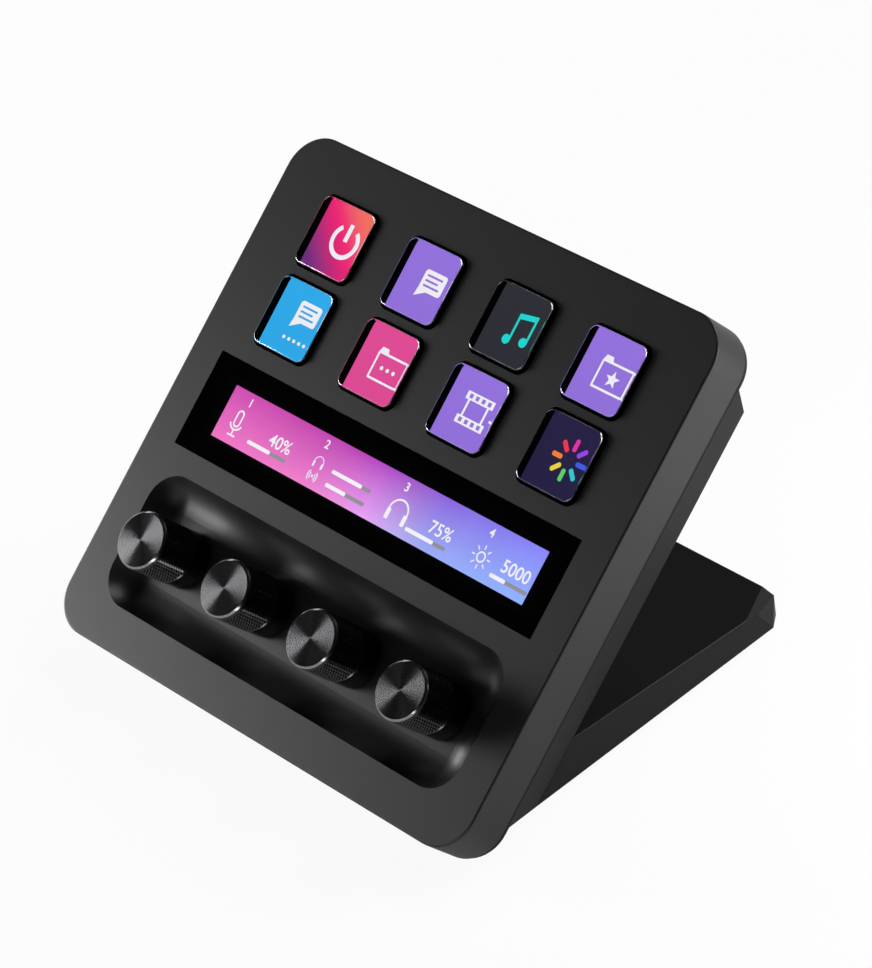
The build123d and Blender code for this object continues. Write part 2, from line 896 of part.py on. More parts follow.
def cut_back_corners(shape, inset=0.0):
    """Cuts both back corners, with the cuts moved inwards by an inset."""
    for side in (-1, 1):
        for corners in corner_triangles(side):
            shape = split(shape, bisect_by=facet_plane(corners).offset(-inset), keep=Keep.BOTTOM)
    return shape


def base_plate_span():
    front_back, _ = desk_point(slab_back_bottom_y, -slab_back)
    return front_back + base_plate_front_setback, stand_back - base_plate_margin


def base_boss_places():
    front, back = base_plate_span()
    x = stand_half_width - base_boss_inset
    return [(sx * x, y) for sx in (-1, 1) for y in (front + base_boss_inset, back - base_boss_inset)]


def stand_bosses(outer):
    """The bosses for the housing screws, trimmed to the wedge."""
    bosses = []
    for x in stand_screw_places():
        boss = rod(stand_boss_radius, -slab_back - stand_boss_depth, -slab_back, x, stand_screw_y)
        bosses.append(place_on_desk(boss) & outer)
    return bosses


def stand_shell():
    plate_top = pad_proud + base_plate_thickness
    outer = side_extrusion(stand_profile(pad_proud), stand_half_width)
    top_edges = outer.edges().filter_by(Axis.Y, reverse=True).filter_by(Axis.X, reverse=True)
    sloped = [e for e in top_edges if abs(e.tangent_at(0.5).Z) < stand_edge_level_limit]
    outer = fillet(sloped, stand_edge_round)
    outer = cut_back_corners(outer)
    inner_profile = offset(stand_profile(plate_top - stand_wall), amount=-stand_wall)
    hollow = side_extrusion(inner_profile, stand_half_width - stand_wall)
    shell = outer - cut_back_corners(hollow, stand_wall)
    for boss in stand_bosses(outer):
        shell += boss
    for x, y in base_boss_places():
        post = rod(base_boss_radius, plate_top, plate_top + panel_origin_height, x, y)
        shell += post & outer
    front, back = base_plate_span()
    opening = block(
        2 * (stand_half_width - base_plate_margin),
        back - front,
        pad_proud,
        plate_top,
        0,
        (front + back) / 2,
    )
    shell -= cut_back_corners(opening, base_plate_margin)
    screw_seat = pad_proud + base_screw_head_height
    for x, y in base_boss_places():
        shell -= rod(base_screw_radius, plate_top, screw_seat + base_screw_length, x, y)
    for x in stand_screw_places():
        hole_end = slab_inner_back - stand_screw_length
        shell -= place_on_desk(rod(stand_screw_radius, hole_end, -slab_back, x, stand_screw_y))
    return shell


def stand_base_plate():
    front, back = base_plate_span()
    inset = base_plate_margin + base_plate_gap
    plate = block(
        2 * (stand_half_width - inset),
        back - front - 2 * base_plate_gap,
        pad_proud,
        pad_proud + base_plate_thickness,
        0,
        (front + back) / 2,
    )
    plate = cut_back_corners(plate, inset)
    head_hole = base_screw_head_radius + base_plate_gap
    for x, y in base_boss_places():
        plate -= rod(base_screw_radius, pad_proud, pad_proud + base_plate_thickness, x, y)
        plate -= rod(head_hole, pad_proud, pad_proud + base_screw_head_height, x, y)
    for y in pad_places():
        plate -= pad_solid(y, pad_side_gap, pad_proud)
    return plate


def base_screws():
    sizes = (base_screw_radius, base_screw_length, base_screw_head_radius, base_screw_head_height)
    return [screw(*sizes, x, y, pad_proud + base_screw_head_height) for x, y in base_boss_places()]


def ballast_plate():
    front, back = base_plate_span()
    low = pad_proud + base_plate_thickness
    front += ballast_end_gap + stand_boss_depth
    back -= ballast_end_gap
    width = 2 * (stand_half_width - ballast_side_gap)
    return block(width, back - front, low, low + ballast_thickness, 0, (front + back) / 2)


def pad_places():
    front, back = base_plate_span()
    return [front + pad_end_setback, back - pad_end_setback]


def pad_solid(y, gap, low):
    return rounded_block(
        pad_length + 2 * gap,
        pad_width + 2 * gap,
        pad_corner_radius,
        low,
        pad_proud + pad_recess,
        0,
        y,
    )


def stand_pads():
    return [pad_solid(y, 0.0, 0.0) for y in pad_places()]


# ---- the whole object ----------------------------------------------------------------
def all_nodes():
    nodes = {
        "front_bezel": place_on_desk(front_bezel()),
        "rear_housing": place_on_desk(rear_housing()),
        "key_guide_frame": place_on_desk(key_guide_frame()),
        "key_switch_mat": place_on_desk(key_mat()),
        "key_display": place_on_desk(key_display()),
        "strip_glass": place_on_desk(strip_glass()),
        "strip_gasket": place_on_desk(strip_gasket()),
        "strip_display": place_on_desk(strip_display()),
        "display_carrier": place_on_desk(display_carrier()),
        "encoder_board": place_on_desk(encoder_board()),
        "main_board": place_on_desk(main_board()),
        "data_socket": place_on_desk(data_socket()),
        "strip_ribbon": place_on_desk(straight_ribbon(strip_ribbon_x, strip_ribbon_y, strip_display_back)),
        "key_ribbon": place_on_desk(straight_ribbon(key_ribbon_x, key_ribbon_y, key_display_back)),
        "encoder_ribbon": place_on_desk(link_ribbon()),
        "stand_shell": stand_shell(),
        "stand_base_plate": stand_base_plate(),
        "stand_ballast": ballast_plate(),
    }
    groups = {
        "carrier_screws": carrier_screws(),
        "board_chips": board_chips(),
        "board_screws": board_screws(),
        "housing_screws": housing_screws(),
        "stand_screws": stand_screws(),
    }
    for name, pieces in groups.items():
        nodes[name] = Compound(children=[place_on_desk(piece) for piece in pieces])
    nodes["base_screws"] = Compound(children=base_screws())
    nodes["stand_pads"] = Compound(children=stand_pads())
    for number, (x, y) in enumerate(key_places(), start=1):
        nodes[f"key_cap_{number}"] = place_on_desk(key_cap(x, y))
    for number, x in enumerate(dial_places(), start=1):
        nodes[f"dial_{number}_knob"] = place_on_desk(dial_knob(x))
        nodes[f"dial_{number}_face"] = place_on_desk(dial_face(x))
        nodes[f"dial_{number}_shaft"] = place_on_desk(dial_shaft(x))
        nodes[f"encoder_{number}_tappet"] = place_on_desk(encoder_tappet(x))
        nodes[f"encoder_{number}_body"] = place_on_desk(encoder_body(x))
    return nodes


if __name__ == "__main__":
    os.makedirs("parts", exist_ok=True)
    for node_name, node_shape in all_nodes().items():
        export_step(node_shape, f"parts/{node_name}.step")
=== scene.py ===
import json
import math

import bpy
from mathutils import Matrix, Vector


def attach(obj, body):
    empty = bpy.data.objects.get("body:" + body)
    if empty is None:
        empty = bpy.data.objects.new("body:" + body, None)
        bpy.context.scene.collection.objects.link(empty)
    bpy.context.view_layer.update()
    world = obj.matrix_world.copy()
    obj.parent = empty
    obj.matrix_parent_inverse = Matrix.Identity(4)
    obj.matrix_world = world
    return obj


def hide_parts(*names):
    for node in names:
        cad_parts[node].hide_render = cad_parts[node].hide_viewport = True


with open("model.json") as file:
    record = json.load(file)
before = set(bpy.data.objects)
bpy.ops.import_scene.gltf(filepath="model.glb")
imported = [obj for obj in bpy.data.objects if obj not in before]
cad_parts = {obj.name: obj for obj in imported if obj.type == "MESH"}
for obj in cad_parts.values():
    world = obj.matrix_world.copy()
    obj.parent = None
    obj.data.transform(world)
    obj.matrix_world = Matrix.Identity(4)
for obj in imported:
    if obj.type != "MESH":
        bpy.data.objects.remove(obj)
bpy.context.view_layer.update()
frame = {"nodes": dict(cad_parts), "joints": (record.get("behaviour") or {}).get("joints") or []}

# The looks of a desk macro keypad, built round its CAD model. The pieces' lengths are
# millimetres in the panel frame (x right, y up the panel, z out of it, origin at its
# middle) and turn into metres in add_piece(). The camera's place is in millimetres and
# the studio in metres, both in the world frame.

MM = 0.001

# ---- key caps and their pictures -----------------------------------------------------
KEY_COLUMNS = 4
KEY_ROWS = 2
KEY_PITCH_X = 29.68
KEY_PITCH_Y = 21.3
KEY_FIELD_Y = 34.55
KEY_SIZE = 18.2
KEY_CORNER = 2.4
KEY_DRAFT = 0.2
KEY_RIM_ROUND = 0.5
KEY_TOP = 1.2
KEY_FLANGE = 20.0
KEY_FLANGE_TOP = -2.25
KEY_BOTTOM = -2.85
KEY_EAR_SPAN = 24.0
KEY_EAR_WIDTH = 8.0
KEY_EAR_BOTTOM = -2.65
PICTURE_SIZE = 19.7
PICTURE_WIDTH = 17.9
PICTURE_LEVEL = -3.94
PICTURE_CORNER = 0.2
ICON_LIFT = 0.02
ICON_SHIFT = 0.8
LIVE_BUBBLE_RISE = 1.6
SCREEN_STRENGTH = 1.1

# ---- touch strip ---------------------------------------------------------------------
STRIP_Y = -2.87
STRIP_WIDTH = 120.9
STRIP_HEIGHT = 24.7
STRIP_LIT_WIDTH = 105.9
STRIP_LIT_HEIGHT = 13.4
STRIP_LIT_MARGIN = 0.6
STRIP_CORNER = 0.05
STRIP_MASK_LEVEL = -1.12
STRIP_PICTURE_LEVEL = -2.29
MARK_BAR_HEIGHT = 0.95
MARK_BAR_ROUND = 0.4
NUMBER_WEIGHT = 0.045
VALUE_SIZE = 4.4
VALUE_Y = -2.3
SEGMENT_SIZE = 3.0
SEGMENT_Y = 3.4

# ---- dials ---------------------------------------------------------------------------
DIAL_COUNT = 4
DIAL_Y = -38.66
DIAL_RADIUS = 7.25
COLLAR_RADIUS = 7.13
DIAL_BORE = 3.05
DIAL_BOTTOM = -4.7
COLLAR_TOP = 0.6
DIAL_TOP = 11.5
DIAL_EDGE = 0.25
KNURL_TEETH = 48
KNURL_DEPTH = 0.5
KNURL_START_GAP = 0.25
KNURL_END_GAP = 0.15
KNURL_RUNOUT = 0.05
FACE_RADIUS = 7.08
FACE_TOP = 12.4
FACE_CHAMFER = 0.38
FACE_CHAMFER_LEANS = (43.0, 37.0)
FACE_DIMPLE = 0.22
FACE_CENTRE_HOLE = 0.02

# ---- camera: its roll in degrees, how near and far it sees in metres -----------------
CAMERA_PLACE = (635.87, -490.84, 651.43)
CAMERA_AIM = (16.34, -2.0, 56.92)
CAMERA_ROLL = 9.28
CAMERA_LENS = 161.46
SENSOR_WIDTH = 36.0
CAMERA_NEAR = 0.05
CAMERA_FAR = 20.0

# ---- studio --------------------------------------------------------------------------
FLOOR_WHITE_SEEN = 0.93
FLOOR_WHITE_MIRRORED = 0.2
HORIZON_HEIGHT = 0.01
CEILING_HEIGHT = 0.13
CEILING_LIGHT = 0.012
FLOOR_REACH = 4.0
MIDDLE = (0.0, 0.0, 0.05)
RIGHT_BACK_LAMP = (0.20, 0.14, 0.10)
RIGHT_BACK_SPOT = (0.15, 0.09, 0.0)

# ---- colours, as the eye sees them, 0 to 255 -----------------------------------------
SHELL_GREY = (18, 18, 19)
REAR_GREY = (26, 26, 27)
STAND_BLACK = (9, 9, 10)
INNER_GREY = (24, 24, 25)
BOARD_GREEN = (18, 70, 48)
CABLE_TAN = (196, 180, 140)
STEEL = (178, 178, 182)
SCREW_GREY = (92, 92, 96)
EDGE_SILVER = (155, 155, 158)
GRIP_GREYS = ((56, 56, 58), (72, 72, 74))
SPUN_GREYS = ((106, 106, 108), (112, 112, 114))
RUBBER_GREYS = ((22, 22, 23), (34, 34, 35))
FLOOR_WHITES = ((243, 243, 243), (245, 245, 245))
GLASS_TINTS = ((250, 250, 252), (255, 255, 255))
CAP_CLEAR = (252, 252, 253)
# the black of the print, also used on the key caps' sides as painted shade for the dark inside seen
# through their clear walls
PRINT_AND_SHADE_BLACKS = ((0, 0, 0), (5, 5, 6))
PURPLE = (147, 114, 219)
SKY_BLUE = (48, 169, 232)
ROSE = (222, 76, 149)
CHARCOAL = (47, 48, 55)
INDIGO = (39, 34, 68)
WHITE = (240, 238, 243)
CYAN = (32, 214, 208)
TRACK_GREY = (146, 142, 150)


# ---- frames of reference -------------------------------------------------------------
def column_x(index, count):
    """The middle of one of so many columns, spaced as the keys are."""
    return (index - (count - 1) / 2) * KEY_PITCH_X


def panel_matrix():
    """The panel frame, from the first dial's turning axis."""
    joint = next(j for j in frame["joints"] if j["name"] == "dial_1_turn")
    outward = Vector(joint["axis"]).normalized()
    right = Vector((1.0, 0.0, 0.0))
    upward = outward.cross(right)
    turn = Matrix((right, upward, outward)).transposed()
    first_dial = Vector(joint["pos_m"])
    origin = first_dial - right * column_x(0, DIAL_COUNT) * MM - upward * DIAL_Y * MM
    return Matrix.Translation(origin) @ turn.to_4x4()


PANEL = panel_matrix()


# ---- material building ---------------------------------------------------------------
def linear(colour):
    """A colour of 0 to 255 as a linear red, green, blue and alpha."""
    channels = []
    for value in colour:
        part = value / 255
        channels.append(part / 12.92 if part <= 0.04045 else ((part + 0.055) / 1.055) ** 2.4)
    return (*channels, 1.0)


class Recipe:
    """A new material with short ways to add nodes to it."""

    def __init__(self, name):
        self.material = bpy.data.materials.new(name)
        self.material.use_nodes = True
        self.nodes = self.material.node_tree.nodes
        self.links = self.material.node_tree.links
        self.surface = self.nodes["Principled BSDF"]

    def add(self, kind, **settings):
        node = self.nodes.new(kind)
        for name, value in settings.items():
            setattr(node, name, value)
        return node

    def join(self, source, target):
        self.links.new(source, target)

    def put(self, **values):
        """Sets sockets of the surface, with spaces in their names as underscores."""
        for name, value in values.items():
            self.surface.inputs[name.replace("_", " ")].default_value = value

    def place(self):
        return self.add("ShaderNodeTexCoord").outputs["Object"]

    def noise(self, scale, detail):
        """Cloudy noise, with its scale in waves per metre."""
        node = self.add("ShaderNodeTexNoise")
        node.inputs["Scale"].default_value = scale
        node.inputs["Detail"].default_value = detail
        self.join(self.place(), node.inputs["Vector"])
        return node.outputs["Fac"]

    def ramp(self, factor, stops):
        """Colours along a factor, from (position, colour) stops."""
        node = self.add("ShaderNodeValToRGB")
        elements = node.color_ramp.elements
        while len(elements) < len(stops):
            elements.new(0.5)
        for element, (position, colour) in zip(elements, stops):
            element.position = position
            element.color = colour
        self.join(factor, node.inputs["Fac"])
        return node.outputs["Color"]

    def spread(self, factor, low, high):
        """A number between two limits that follows a factor."""
        node = self.add("ShaderNodeMapRange")
        node.inputs["To Min"].default_value = low
        node.inputs["To Max"].default_value = high
        self.join(factor, node.inputs["Value"])
        return node.outputs["Result"]

    def paint(self, factor, dark, light, low=0.3, high=0.7):
        """The surface's colour, from dark to light as a factor goes from low to high."""
        shade = self.ramp(factor, [(low, linear(dark)), (high, linear(light))])
        self.join(shade, self.surface.inputs["Base Color"])

    def roughen(self, factor, low, high):
        """The surface's roughness between two limits that follows a factor."""
        self.join(self.spread(factor, low, high), self.surface.inputs["Roughness"])

    def bump(self, height, strength, distance):
        node = self.add("ShaderNodeBump")
        node.inputs["Strength"].default_value = strength
        node.inputs["Distance"].default_value = distance
        self.join(height, node.inputs["Height"])
        self.join(node.outputs["Normal"], self.surface.inputs["Normal"])


def moulded_plastic(name, colour, roughness, grain=0.2, specular=0.5):
    """Dark moulding with a fine spark-eroded grain and faint cloudiness."""
    recipe = Recipe(name)
    recipe.put(Specular_IOR_Level=specular)
    cloud = recipe.noise(scale=35.0, detail=3.0)
    darker = tuple(channel * 0.92 for channel in colour)
    lighter = tuple(min(255, channel * 1.06) for channel in colour)
    recipe.paint(cloud, darker, lighter, low=0.35, high=0.65)
    fine = recipe.noise(scale=5200.0, detail=2.0)
    recipe.roughen(fine, *roughness)
    recipe.bump(fine, strength=grain, distance=0.00003)
    return recipe.material


def clear_plastic(name, refraction, roughest):
    """Polished clear plastic for the key caps, with a trace of handling."""
    recipe = Recipe(name)
    recipe.put(Transmission_Weight=1.0, IOR=refraction, Base_Color=linear(CAP_CLEAR))
    smear = recipe.noise(scale=260.0, detail=3.0)
    recipe.roughen(smear, 0.0, roughest)
    return recipe.material


def cover_glass():
    """The strip's glass, faintly smeared."""
    recipe = Recipe("cover_glass")
    recipe.put(Transmission_Weight=1.0, IOR=1.5)
    smear = recipe.noise(scale=180.0, detail=3.0)
    recipe.roughen(smear, 0.0, 0.03)
    recipe.paint(smear, *GLASS_TINTS)
    return recipe.material


def black_paint():
    """The dense black behind the strip's glass and the keys, and on the key caps' sides, where it
    is painted shade for the dark inside seen through the clear walls.
    """
    recipe = Recipe("black_paint")
    speck = recipe.noise(scale=900.0, detail=2.0)
    recipe.paint(speck, *PRINT_AND_SHADE_BLACKS)
    recipe.put(Specular_IOR_Level=0.0)
    recipe.roughen(speck, 0.8, 1.0)
    return recipe.material


def light_up(recipe, colours):
    """Makes a recipe a lit screen of the given colours, with its pixels just visible."""
    pixels = recipe.spread(recipe.noise(scale=9000.0, detail=1.0), 0.96, 1.04)
    scaled = recipe.add("ShaderNodeVectorMath", operation="SCALE")
    recipe.join(colours, scaled.inputs[0])
    recipe.join(pixels, scaled.inputs["Scale"])
    recipe.join(scaled.outputs["Vector"], recipe.surface.inputs["Emission Color"])
    recipe.put(Base_Color=(0.0, 0.0, 0.0, 1.0), Specular_IOR_Level=0.0, Roughness=0.6)
    recipe.put(Emission_Strength=SCREEN_STRENGTH)


def shares_across(recipe, width, height, turn=0.0):
    """How far a point lies across and up a picture, 0 to 1, with the picture turned."""
    mapping = recipe.add("ShaderNodeMapping", vector_type="POINT")
    mapping.inputs["Location"].default_value = (0.5, 0.5, 0.0)
    mapping.inputs["Rotation"].default_value = (0.0, 0.0, math.radians(-turn))
    mapping.inputs["Scale"].default_value = (1 / (width * MM), 1 / (height * MM), 1.0)
    recipe.join(recipe.place(), mapping.inputs["Vector"])
    split = recipe.add("ShaderNodeSeparateXYZ")
    recipe.join(mapping.outputs["Vector"], split.inputs["Vector"])
    return split.outputs["X"], split.outputs["Y"]


def lit_picture(name, stops, turn=0.0):
    """A lit screen whose colours run across the size of a key's picture."""
    recipe = Recipe(name)
    across, _ = shares_across(recipe, PICTURE_SIZE, PICTURE_SIZE, turn)
    light_up(recipe, recipe.ramp(across, stops))
    return recipe.material


def lit_sky(low_stops, high_stops):
    """The strip's lit screen, whose colours run across it, with others at its foot than its top."""
    recipe = Recipe("strip_sky")
    across, up = shares_across(recipe, STRIP_LIT_WIDTH, STRIP_LIT_HEIGHT)
    mix = recipe.add("ShaderNodeMix", data_type="RGBA")
    # a mix node's sockets for numbers, vectors and colours share their names
    first_colour, second_colour, mixed_colour = mix.inputs[6], mix.inputs[7], mix.outputs[2]
    recipe.join(up, mix.inputs["Factor"])
    recipe.join(recipe.ramp(across, low_stops), first_colour)
    recipe.join(recipe.ramp(across, high_stops), second_colour)
    light_up(recipe, mixed_colour)
    return recipe.material


def anodised_grip():
    """The dials' dark knurled metal."""
    recipe = Recipe("anodised_grip")
    wear = recipe.noise(scale=700.0, detail=4.0)
    recipe.paint(wear, *GRIP_GREYS)
    recipe.put(Metallic=1.0)
    recipe.roughen(wear, 0.12, 0.18)
    return recipe.material


def spun_metal():
    """A face turned on a lathe: fine rings that stretch each light into a fan."""
    recipe = Recipe("spun_metal")
    flat = recipe.add("ShaderNodeVectorMath", operation="MULTIPLY")
    flat.inputs[1].default_value = (1.0, 1.0, 0.0)
    recipe.join(recipe.place(), flat.inputs[0])
    distance = recipe.add("ShaderNodeVectorMath", operation="LENGTH")
    recipe.join(flat.outputs["Vector"], distance.inputs[0])
    rings = recipe.add("ShaderNodeTexNoise", noise_dimensions="1D")
    rings.inputs["Scale"].default_value = 4000.0
    recipe.join(distance.outputs["Value"], rings.inputs["W"])
    recipe.paint(rings.outputs["Fac"], *SPUN_GREYS)
    recipe.put(Metallic=1.0, Anisotropic=0.92, Anisotropic_Rotation=0.25)
    recipe.roughen(rings.outputs["Fac"], 0.235, 0.245)
    tangent = recipe.add("ShaderNodeTangent", direction_type="RADIAL", axis="Z")
    recipe.join(tangent.outputs["Tangent"], recipe.surface.inputs["Tangent"])
    return recipe.material


def plain_metal(name, colour, roughest=0.45):
    """Bare metal with a finely mottled finish."""
    recipe = Recipe(name)
    mottle = recipe.noise(scale=1500.0, detail=3.0)
    darker = tuple(channel * 0.85 for channel in colour)
    recipe.paint(mottle, darker, colour)
    recipe.put(Metallic=1.0)
    recipe.roughen(mottle, 0.55 * roughest, roughest)
    return recipe.material


def pad_rubber():
    """Dull rubber with small pits."""
    recipe = Recipe("pad_rubber")
    pits = recipe.add("ShaderNodeTexVoronoi")
    pits.inputs["Scale"].default_value = 900.0
    recipe.join(recipe.place(), pits.inputs["Vector"])
    cloud = recipe.noise(scale=120.0, detail=3.0)
    recipe.paint(cloud, *RUBBER_GREYS)
    recipe.roughen(cloud, 0.7, 0.85)
    recipe.bump(pits.outputs["Distance"], strength=0.4, distance=0.0002)
    return recipe.material


def floor_finish():
    """A pale floor that the camera and mirroring surfaces see nearly white."""
    recipe = Recipe("studio_floor")
    cloud = recipe.noise(scale=3.0, detail=2.0)
    recipe.paint(cloud, *FLOOR_WHITES)
    recipe.put(Roughness=1.0, Specular_IOR_Level=0.0)
    path = recipe.add("ShaderNodeLightPath")
    share = recipe.spread(path.outputs["Is Camera Ray"], 0.0, FLOOR_WHITE_SEEN)
    for kind in ("Is Glossy Ray", "Is Transmission Ray"):
        mirrored = recipe.spread(path.outputs[kind], 0.0, FLOOR_WHITE_MIRRORED)
        either = recipe.add("ShaderNodeMath", operation="MAXIMUM")
        recipe.join(share, either.inputs[0])
        recipe.join(mirrored, either.inputs[1])
        share = either.outputs["Value"]
    white = recipe.add("ShaderNodeEmission")
    mix = recipe.add("ShaderNodeMixShader")
    recipe.join(share, mix.inputs[0])
    recipe.join(recipe.surface.outputs["BSDF"], mix.inputs[1])
    recipe.join(white.outputs["Emission"], mix.inputs[2])
    recipe.join(mix.outputs["Shader"], recipe.nodes["Material Output"].inputs["Surface"])
    return recipe.material


# ---- mesh building -------------------------------------------------------------------
def add_piece(name, vertices, faces, materials, place, body, choice=None, sharp_angle=30.0):
    """A mesh at a place in the panel frame that moves with a CAD body."""
    mesh = bpy.data.meshes.new(name)
    mesh.from_pydata([[c * MM for c in vertex] for vertex in vertices], [], faces)
    for material in materials:
        mesh.materials.append(material)
    for index, polygon in enumerate(mesh.polygons):
        polygon.use_smooth = True
        if choice:
            polygon.material_index = choice[index]
    mesh.set_sharp_from_angle(angle=math.radians(sharp_angle))
    mesh.update()
    piece = bpy.data.objects.new(name, mesh)
    bpy.context.scene.collection.objects.link(piece)
    piece.matrix_world = PANEL @ Matrix.Translation(Vector(place) * MM)
    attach(piece, body)
    return piece


def rounded_outline(width, height, radius, steps=8):
    """A rectangle's outline with round corners, anticlockwise from the right."""
    points = []
    for corner, (sx, sy) in enumerate(((1, 1), (-1, 1), (-1, -1), (1, -1))):
        centre_x = sx * (width / 2 - radius)
        centre_y = sy * (height / 2 - radius)
        for step in range(steps + 1):
            angle = math.radians(90 * corner + 90 * step / steps)
            points.append(
                (centre_x + radius * math.cos(angle), centre_y + radius * math.sin(angle))
            )
    return points


def stack(rings):
    """A closed solid through rings of equally many points, lowest ring first."""
    count = len(rings[0])
    vertices = [point for ring in rings for point in ring]
    faces = [tuple(reversed(range(count)))]
    for level in range(len(rings) - 1):
        low = level * count
        high = low + count
        for i in range(count):
            j = (i + 1) % count
            faces.append((low + i, low + j, high + j, high + i))
    top = (len(rings) - 1) * count
    faces.append(tuple(range(top, top + count)))
    return vertices, faces


def merged(*solids):
    """Several (vertices, faces) as one."""
    vertices, faces = [], []
    for new_vertices, new_faces in solids:
        start = len(vertices)
        vertices += new_vertices
        faces += [tuple(start + index for index in face) for face in new_faces]
    return vertices, faces


def plate(points):
    """A flat face with the given outline."""
    return [(x, y, 0.0) for x, y in points], [tuple(range(len(points)))]


def shifted(points, x, y):
    """An outline moved sideways and up."""
    return [(px + x, py + y) for px, py in points]


def turned(points, away, angle):
    """An outline moved away along x, then turned about the middle by an angle in radians."""
    along = [(px + away, py) for px, py in points]
    return [
        (px * math.cos(angle) - py * math.sin(angle), px * math.sin(angle) + py * math.cos(angle))
        for px, py in along
    ]


def circle(radius, count):
    """A circle's outline of so many points."""
    return [
        (radius * math.cos(2 * math.pi * i / count), radius * math.sin(2 * math.pi * i / count))
        for i in range(count)
    ]


def band(outer, inner):
    """The flat ring between two outlines of equally many points."""
    count = len(outer)
    vertices = [(x, y, 0.0) for x, y in outer + inner]
    faces = []
    for i in range(count):
        j = (i + 1) % count
        faces.append((i, j, count + j, count + i))
    return vertices, faces


def arc_band(radius, width, start, end):
    """A flat arc of a given middle radius and width, between two angles in degrees."""
    steps = 40
    vertices, faces = [], []
    for step in range(steps + 1):
        angle = math.radians(start + (end - start) * step / steps)
        for r in (radius + width / 2, radius - width / 2):
            vertices.append((r * math.cos(angle), r * math.sin(angle), 0.0))
    for step in range(steps):
        i = 2 * step
        faces.append((i, i + 2, i + 3, i + 1))
    return vertices, faces


def moved(shape, x, y):
    """A (vertices, faces) shape moved sideways and up."""
    vertices, faces = shape
    return [(vx + x, vy + y, vz) for vx, vy, vz in vertices], faces


def bar(width, height, x=0.0, y=0.0, radius=0.0):
    """A flat rectangle about a point, with round corners if a radius is given."""
    if radius:
        return plate(shifted(rounded_outline(width, height, radius), x, y))
    half_w = width / 2
    half_h = height / 2
    corners = [(-half_w, -half_h), (half_w, -half_h), (half_w, half_h), (-half_w, half_h)]
    return plate(shifted(corners, x, y))


def frame_outline(width, height, radius, stroke, x=0.0, y=0.0):
    """A flat rounded frame with strokes of one width."""
    smallest_radius = 0.05
    outer = rounded_outline(width, height, radius)
    inner_radius = max(radius - stroke, smallest_radius)
    inner = rounded_outline(width - 2 * stroke, height - 2 * stroke, inner_radius)
    return moved(band(outer, inner), x, y)


# ---- key caps ------------------------------------------------------------------------
def key_places():
    """Each key's middle, row by row from the top left."""
    places = []
    for row in range(KEY_ROWS):
        y = KEY_FIELD_Y + ((KEY_ROWS - 1) / 2 - row) * KEY_PITCH_Y
        for column in range(KEY_COLUMNS):
            places.append((column_x(column, KEY_COLUMNS), y))
    return places


def key_cap_mesh():
    """A clear cap with black sides, painted shade for the dark inside seen through its clear walls:
    (vertices, faces, material choice per face).
    """
    clear, black, rim = range(3)
    levels = [
        (KEY_FLANGE, KEY_BOTTOM),
        (KEY_FLANGE, KEY_FLANGE_TOP),
        (KEY_SIZE, KEY_FLANGE_TOP),
        (KEY_SIZE - 2 * KEY_DRAFT, KEY_TOP - KEY_RIM_ROUND),
    ]
    side_levels = len(levels) - 1
    rim_steps = 6
    for step in range(1, rim_steps + 1):
        angle = math.radians(90 * step / rim_steps)
        inset = KEY_DRAFT + KEY_RIM_ROUND * (1 - math.cos(angle))
        rise = KEY_RIM_ROUND * math.sin(angle)
        levels.append((KEY_SIZE - 2 * inset, KEY_TOP - KEY_RIM_ROUND + rise))
    rings = []
    for size, level in levels:
        radius = KEY_CORNER - (KEY_SIZE - size) / 2 if size < KEY_SIZE else KEY_CORNER
        rings.append([(x, y, level) for x, y in rounded_outline(size, size, radius)])
    body = stack(rings)
    count = len(rings[0])
    # the cap's sides take the black, as painted shade that stands in for the dark inside seen
    # through the clear walls
    choice = [clear] + [black] * (side_levels * count) + [rim] * (rim_steps * count) + [clear]
    ears = []
    ear_length = (KEY_EAR_SPAN - KEY_FLANGE) / 2
    for side in (-1, 1):
        x = side * (KEY_FLANGE + ear_length) / 2
        outline = bar(ear_length, KEY_EAR_WIDTH, x)[0]
        low = [(px, py, KEY_EAR_BOTTOM) for px, py, _ in outline]
        high = [(px, py, KEY_FLANGE_TOP) for px, py, _ in outline]
        ears.append(stack([low, high]))
    vertices, faces = merged(body, *ears)
    choice += [black] * (len(faces) - len(choice))
    return vertices, faces, choice


def add_key_caps():
    """The clear caps with their bright rims, and black sides that are painted shade for the dark
    inside seen through the clear walls.
    """
    vertices, faces, choice = key_cap_mesh()
    clear = clear_plastic("clear_cap", refraction=1.58, roughest=0.02)
    rim = clear_plastic("clear_rim", refraction=1.9, roughest=0.08)
    materials = [clear, black_paint(), rim]
    for number, (x, y) in enumerate(key_places(), start=1):
        cap = add_piece(
            f"cap_{number}", vertices, faces, materials, (x, y, 0.0), f"key_{number}", choice
        )
        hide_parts(f"key_cap_{number}")


# ---- pictures on the keys ------------------------------------------------------------
def power_icon():
    """A ring open at its top, with a bar in the gap."""
    half_gap = 39.0
    ring = arc_band(3.8, 1.15, 90 + half_gap, 450 - half_gap)
    return moved(merged(ring, bar(1.25, 4.4, 0.0, 2.2)), -0.3, 0.4)


def bubble_icon():
    """A speech bubble with its tail at the lower left."""
    body = bar(7.0, 5.2, 0.2, 0.8, 0.8)
    tail = plate([(-3.3, -1.1), (-0.6, -1.8), (-3.6, -3.5)])
    return merged(body, tail)


def bubble_lines():
    """Three lines, level on the left, that stand for text."""
    left = -2.3
    top = 2.1
    pitch = 1.25
    thickness = 0.5
    lines = []
    for row, width in enumerate((4.9, 4.0, 4.9)):
        lines.append(bar(width, thickness, left + width / 2, top - pitch * row))
    return merged(*lines)


